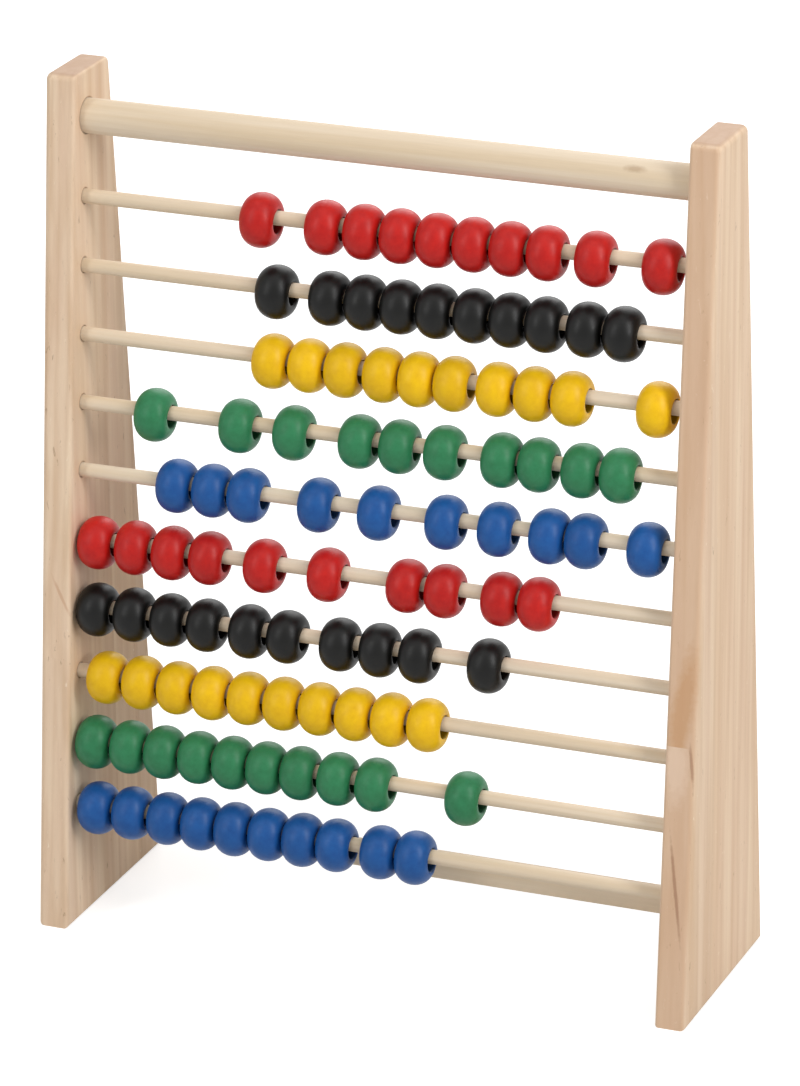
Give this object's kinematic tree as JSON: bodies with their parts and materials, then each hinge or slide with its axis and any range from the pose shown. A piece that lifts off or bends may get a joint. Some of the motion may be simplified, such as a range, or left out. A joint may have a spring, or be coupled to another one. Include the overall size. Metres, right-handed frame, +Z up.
{
  "type": "abacus",
  "caption": "Standing wooden counting frame: tapered end panels joined by a top dowel, a low rail and level rods that carry sliding round beads.",
  "frame": {"origin": "on the standing surface, midway between the end panels and midway along their feet", "axes": "+Z up, +X to the right along the rods as seen from the front, +Y to the back"},
  "size_m": [0.238, 0.08, 0.3],
  "materials": {
    "pine_panel": "bare sanded pine board with fine straight grain",
    "pine_stick": "bare sanded light softwood stick",
    "bead_red": "satin red paint on turned wood",
    "bead_black": "satin black paint on turned wood",
    "bead_yellow": "satin yellow paint on turned wood",
    "bead_green": "satin green paint on turned wood",
    "bead_blue": "satin blue paint on turned wood"
  },
  "bodies": {
    "frame": {"left_panel": "pine_panel", "right_panel": "pine_panel", "top_dowel": "pine_stick", "bottom_rail": "pine_stick", "rod_1": "pine_stick", "rod_2": "pine_stick", "rod_3": "pine_stick", "rod_4": "pine_stick", "rod_5": "pine_stick", "rod_6": "pine_stick", "rod_7": "pine_stick", "rod_8": "pine_stick", "rod_9": "pine_stick", "rod_10": "pine_stick"},
    "row_1_beads_a": {"row_1_beads_a": "bead_red"},
    "row_1_beads_b": {"row_1_beads_b": "bead_red"},
    "row_1_beads_c": {"row_1_beads_c": "bead_red"},
    "row_1_beads_d": {"row_1_beads_d": "bead_red"},
    "row_1_beads_e": {"row_1_beads_e": "bead_red"},
    "row_2_beads_a": {"row_2_beads_a": "bead_black"},
    "row_2_beads_b": {"row_2_beads_b": "bead_black"},
    "row_2_beads_c": {"row_2_beads_c": "bead_black"},
    "row_2_beads_d": {"row_2_beads_d": "bead_black"},
    "row_3_beads_a": {"row_3_beads_a": "bead_yellow"},
    "row_3_beads_b": {"row_3_beads_b": "bead_yellow"},
    "row_3_beads_c": {"row_3_beads_c": "bead_yellow"},
    "row_3_beads_d": {"row_3_beads_d": "bead_yellow"},
    "row_4_beads_a": {"row_4_beads_a": "bead_green"},
    "row_4_beads_b": {"row_4_beads_b": "bead_green"},
    "row_4_beads_c": {"row_4_beads_c": "bead_green"},
    "row_4_beads_d": {"row_4_beads_d": "bead_green"},
    "row_4_beads_e": {"row_4_beads_e": "bead_green"},
    "row_4_beads_f": {"row_4_beads_f": "bead_green"},
    "row_4_beads_g": {"row_4_beads_g": "bead_green"},
    "row_5_beads_a": {"row_5_beads_a": "bead_blue"},
    "row_5_beads_b": {"row_5_beads_b": "bead_blue"},
    "row_5_beads_c": {"row_5_beads_c": "bead_blue"},
    "row_5_beads_d": {"row_5_beads_d": "bead_blue"},
    "row_5_beads_e": {"row_5_beads_e": "bead_blue"},
    "row_5_beads_f": {"row_5_beads_f": "bead_blue"},
    "row_5_beads_g": {"row_5_beads_g": "bead_blue"},
    "row_6_beads_a": {"row_6_beads_a": "bead_red"},
    "row_6_beads_b": {"row_6_beads_b": "bead_red"},
    "row_6_beads_c": {"row_6_beads_c": "bead_red"},
    "row_6_beads_d": {"row_6_beads_d": "bead_red"},
    "row_6_beads_e": {"row_6_beads_e": "bead_red"},
    "row_7_beads_a": {"row_7_beads_a": "bead_black"},
    "row_7_beads_b": {"row_7_beads_b": "bead_black"},
    "row_7_beads_c": {"row_7_beads_c": "bead_black"},
    "row_7_beads_d": {"row_7_beads_d": "bead_black"},
    "row_8_beads_a": {"row_8_beads_a": "bead_yellow"},
    "row_8_beads_b": {"row_8_beads_b": "bead_yellow"},
    "row_8_beads_c": {"row_8_beads_c": "bead_yellow"},
    "row_9_beads_a": {"row_9_beads_a": "bead_green"},
    "row_9_beads_b": {"row_9_beads_b": "bead_green"},
    "row_9_beads_c": {"row_9_beads_c": "bead_green"},
    "row_9_beads_d": {"row_9_beads_d": "bead_green"},
    "row_10_beads_a": {"row_10_beads_a": "bead_blue"},
    "row_10_beads_b": {"row_10_beads_b": "bead_blue"},
    "row_10_beads_c": {"row_10_beads_c": "bead_blue"}
  },
  "joints": [
    {"name": "row_1_beads_e_slide", "type": "slide", "parent": "frame", "child": "row_1_beads_e", "axis": [1, 0, 0], "range_m": [-0.01168, 0.0039]},
    {"name": "row_1_beads_d_slide", "type": "slide", "parent": "row_1_beads_e", "child": "row_1_beads_d", "axis": [1, 0, 0], "range_m": [-0.01168, 0.0109]},
    {"name": "row_1_beads_c_slide", "type": "slide", "parent": "row_1_beads_d", "child": "row_1_beads_c", "axis": [1, 0, 0], "range_m": [-0.01168, 0.0044]},
    {"name": "row_1_beads_b_slide", "type": "slide", "parent": "row_1_beads_c", "child": "row_1_beads_b", "axis": [1, 0, 0], "range_m": [-0.01168, 0.00139]},
    {"name": "row_1_beads_a_slide", "type": "slide", "parent": "row_1_beads_b", "child": "row_1_beads_a", "axis": [1, 0, 0], "range_m": [-0.01168, 0.0109]},
    {"name": "row_2_beads_d_slide", "type": "slide", "parent": "frame", "child": "row_2_beads_d", "axis": [1, 0, 0], "range_m": [-0.01612, 0.01641]},
    {"name": "row_2_beads_c_slide", "type": "slide", "parent": "row_2_beads_d", "child": "row_2_beads_c", "axis": [1, 0, 0], "range_m": [-0.01612, 0.0019]},
    {"name": "row_2_beads_b_slide", "type": "slide", "parent": "row_2_beads_c", "child": "row_2_beads_b", "axis": [1, 0, 0], "range_m": [-0.01612, 0.0009]},
    {"name": "row_2_beads_a_slide", "type": "slide", "parent": "row_2_beads_b", "child": "row_2_beads_a", "axis": [1, 0, 0], "range_m": [-0.01612, 0.0069]},
    {"name": "row_3_beads_d_slide", "type": "slide", "parent": "frame", "child": "row_3_beads_d", "axis": [1, 0, 0], "range_m": [-0.01594, 0.00389]},
    {"name": "row_3_beads_c_slide", "type": "slide", "parent": "row_3_beads_d", "child": "row_3_beads_c", "axis": [1, 0, 0], "range_m": [-0.01594, 0.01736]},
    {"name": "row_3_beads_b_slide", "type": "slide", "parent": "row_3_beads_c", "child": "row_3_beads_b", "axis": [1, 0, 0], "range_m": [-0.01594, 0.00289]},
    {"name": "row_3_beads_a_slide", "type": "slide", "parent": "row_3_beads_b", "child": "row_3_beads_a", "axis": [1, 0, 0], "range_m": [-0.01594, 0.00139]},
    {"name": "row_4_beads_g_slide", "type": "slide", "parent": "frame", "child": "row_4_beads_g", "axis": [1, 0, 0], "range_m": [-0.00298, 0.01588]},
    {"name": "row_4_beads_f_slide", "type": "slide", "parent": "row_4_beads_g", "child": "row_4_beads_f", "axis": [1, 0, 0], "range_m": [-0.00298, 0.00289]},
    {"name": "row_4_beads_e_slide", "type": "slide", "parent": "row_4_beads_f", "child": "row_4_beads_e", "axis": [1, 0, 0], "range_m": [-0.00298, 0.00789]},
    {"name": "row_4_beads_d_slide", "type": "slide", "parent": "row_4_beads_e", "child": "row_4_beads_d", "axis": [1, 0, 0], "range_m": [-0.00298, 0.00389]},
    {"name": "row_4_beads_c_slide", "type": "slide", "parent": "row_4_beads_d", "child": "row_4_beads_c", "axis": [1, 0, 0], "range_m": [-0.00298, 0.01138]},
    {"name": "row_4_beads_b_slide", "type": "slide", "parent": "row_4_beads_c", "child": "row_4_beads_b", "axis": [1, 0, 0], "range_m": [-0.00298, 0.00739]},
    {"name": "row_4_beads_a_slide", "type": "slide", "parent": "row_4_beads_b", "child": "row_4_beads_a", "axis": [1, 0, 0], "range_m": [-0.00298, 0.01887]},
    {"name": "row_5_beads_g_slide", "type": "slide", "parent": "frame", "child": "row_5_beads_g", "axis": [1, 0, 0], "range_m": [-0.00419, 0.00538]},
    {"name": "row_5_beads_f_slide", "type": "slide", "parent": "row_5_beads_g", "child": "row_5_beads_f", "axis": [1, 0, 0], "range_m": [-0.00419, 0.00937]},
    {"name": "row_5_beads_e_slide", "type": "slide", "parent": "row_5_beads_f", "child": "row_5_beads_e", "axis": [1, 0, 0], "range_m": [-0.00419, 0.00588]},
    {"name": "row_5_beads_d_slide", "type": "slide", "parent": "row_5_beads_e", "child": "row_5_beads_d", "axis": [1, 0, 0], "range_m": [-0.00419, 0.00638]},
    {"name": "row_5_beads_c_slide", "type": "slide", "parent": "row_5_beads_d", "child": "row_5_beads_c", "axis": [1, 0, 0], "range_m": [-0.00419, 0.01187]},
    {"name": "row_5_beads_b_slide", "type": "slide", "parent": "row_5_beads_c", "child": "row_5_beads_b", "axis": [1, 0, 0], "range_m": [-0.00419, 0.00937]},
    {"name": "row_5_beads_a_slide", "type": "slide", "parent": "row_5_beads_b", "child": "row_5_beads_a", "axis": [1, 0, 0], "range_m": [-0.00419, 0.01337]},
    {"name": "row_6_beads_a_slide", "type": "slide", "parent": "frame", "child": "row_6_beads_a", "axis": [1, 0, 0], "range_m": [-0.0004, 0.00857]},
    {"name": "row_6_beads_b_slide", "type": "slide", "parent": "row_6_beads_a", "child": "row_6_beads_b", "axis": [1, 0, 0], "range_m": [-0.00789, 0.00857]},
    {"name": "row_6_beads_c_slide", "type": "slide", "parent": "row_6_beads_b", "child": "row_6_beads_c", "axis": [1, 0, 0], "range_m": [-0.01089, 0.00857]},
    {"name": "row_6_beads_d_slide", "type": "slide", "parent": "row_6_beads_c", "child": "row_6_beads_d", "axis": [1, 0, 0], "range_m": [-0.01638, 0.00857]},
    {"name": "row_6_beads_e_slide", "type": "slide", "parent": "row_6_beads_d", "child": "row_6_beads_e", "axis": [1, 0, 0], "range_m": [-0.00789, 0.00857]},
    {"name": "row_7_beads_a_slide", "type": "slide", "parent": "frame", "child": "row_7_beads_a", "axis": [1, 0, 0], "range_m": [-0.0004, 0.01499]},
    {"name": "row_7_beads_b_slide", "type": "slide", "parent": "row_7_beads_a", "child": "row_7_beads_b", "axis": [1, 0, 0], "range_m": [-0.0034, 0.01499]},
    {"name": "row_7_beads_c_slide", "type": "slide", "parent": "row_7_beads_b", "child": "row_7_beads_c", "axis": [1, 0, 0], "range_m": [-0.00691, 0.01499]},
    {"name": "row_7_beads_d_slide", "type": "slide", "parent": "row_7_beads_c", "child": "row_7_beads_d", "axis": [1, 0, 0], "range_m": [-0.01241, 0.01499]},
    {"name": "row_8_beads_a_slide", "type": "slide", "parent": "frame", "child": "row_8_beads_a", "axis": [1, 0, 0], "range_m": [-0.00441, 0.02702]},
    {"name": "row_8_beads_b_slide", "type": "slide", "parent": "row_8_beads_a", "child": "row_8_beads_b", "axis": [1, 0, 0], "range_m": [-0.0009, 0.02702]},
    {"name": "row_8_beads_c_slide", "type": "slide", "parent": "row_8_beads_b", "child": "row_8_beads_c", "axis": [1, 0, 0], "range_m": [-0.0009, 0.02702]},
    {"name": "row_9_beads_a_slide", "type": "slide", "parent": "frame", "child": "row_9_beads_a", "axis": [1, 0, 0], "range_m": [-0.0004, 0.01663]},
    {"name": "row_9_beads_b_slide", "type": "slide", "parent": "row_9_beads_a", "child": "row_9_beads_b", "axis": [1, 0, 0], "range_m": [-0.0004, 0.01663]},
    {"name": "row_9_beads_c_slide", "type": "slide", "parent": "row_9_beads_b", "child": "row_9_beads_c", "axis": [1, 0, 0], "range_m": [-0.0014, 0.01663]},
    {"name": "row_9_beads_d_slide", "type": "slide", "parent": "row_9_beads_c", "child": "row_9_beads_d", "axis": [1, 0, 0], "range_m": [-0.02044, 0.01663]},
    {"name": "row_10_beads_a_slide", "type": "slide", "parent": "frame", "child": "row_10_beads_a", "axis": [1, 0, 0], "range_m": [-0.0014, 0.0281]},
    {"name": "row_10_beads_b_slide", "type": "slide", "parent": "row_10_beads_a", "child": "row_10_beads_b", "axis": [1, 0, 0], "range_m": [-0.0009, 0.0281]},
    {"name": "row_10_beads_c_slide", "type": "slide", "parent": "row_10_beads_b", "child": "row_10_beads_c", "axis": [1, 0, 0], "range_m": [-0.0039, 0.0281]}
  ]
}
